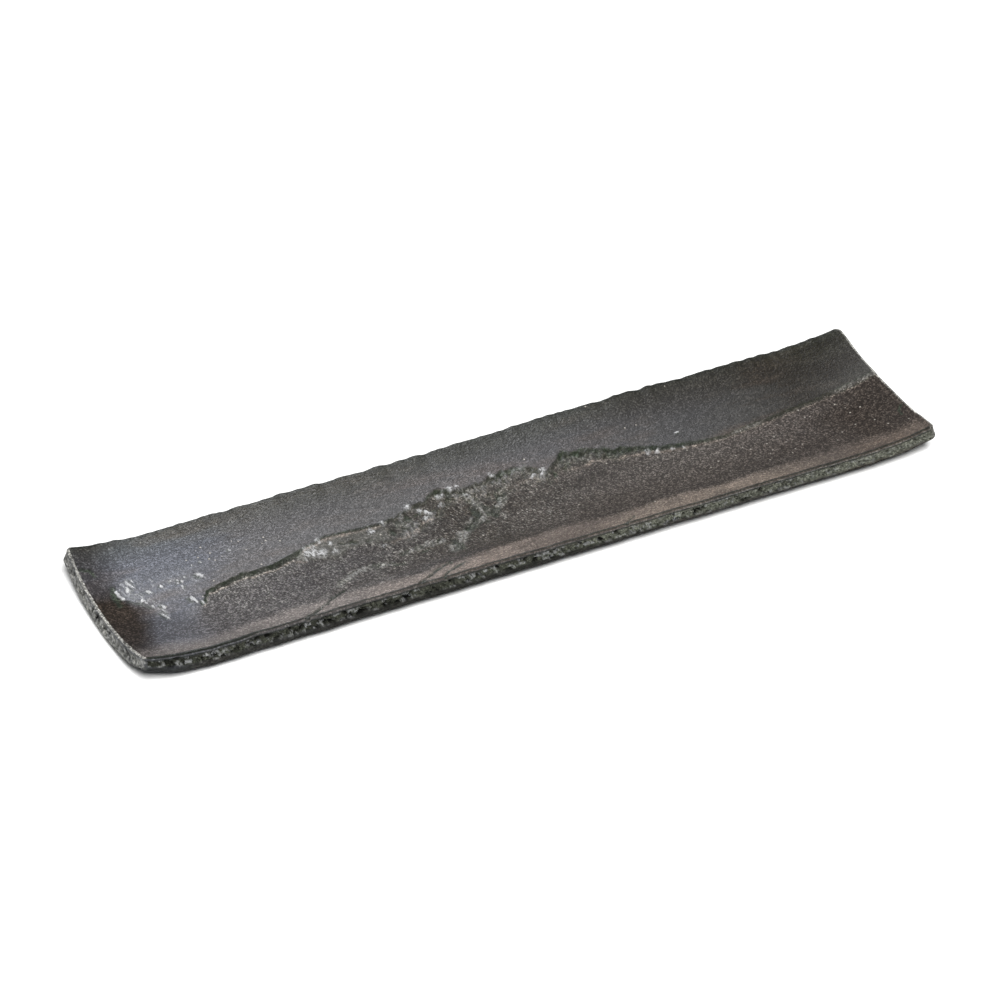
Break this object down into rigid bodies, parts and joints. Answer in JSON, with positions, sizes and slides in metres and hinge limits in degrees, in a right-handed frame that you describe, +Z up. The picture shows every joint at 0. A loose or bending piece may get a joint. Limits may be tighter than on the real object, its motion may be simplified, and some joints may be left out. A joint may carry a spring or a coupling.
{
  "type": "incense tray",
  "caption": "Long shallow stoneware incense tray: a slab dished across its width, turned up at both ends, with a cleft along its top face, on felt foot pads.",
  "frame": {"origin": "middle of the tray in plan, on the surface that the foot pads stand on", "axes": "+X along the tray, towards the right end in the picture; +Y from the front lip to the back lip; +Z up"},
  "size_m": [0.274, 0.0632, 0.0119],
  "materials": {
    "dark_glaze": "satin metallic iron glaze",
    "felt": "pressed wool felt"
  },
  "bodies": {
    "root": {"stoneware_tray": "dark_glaze", "foot_pad_front_left": "felt", "foot_pad_front_right": "felt", "foot_pad_back_left": "felt", "foot_pad_back_right": "felt"}
  },
  "joints": []
}
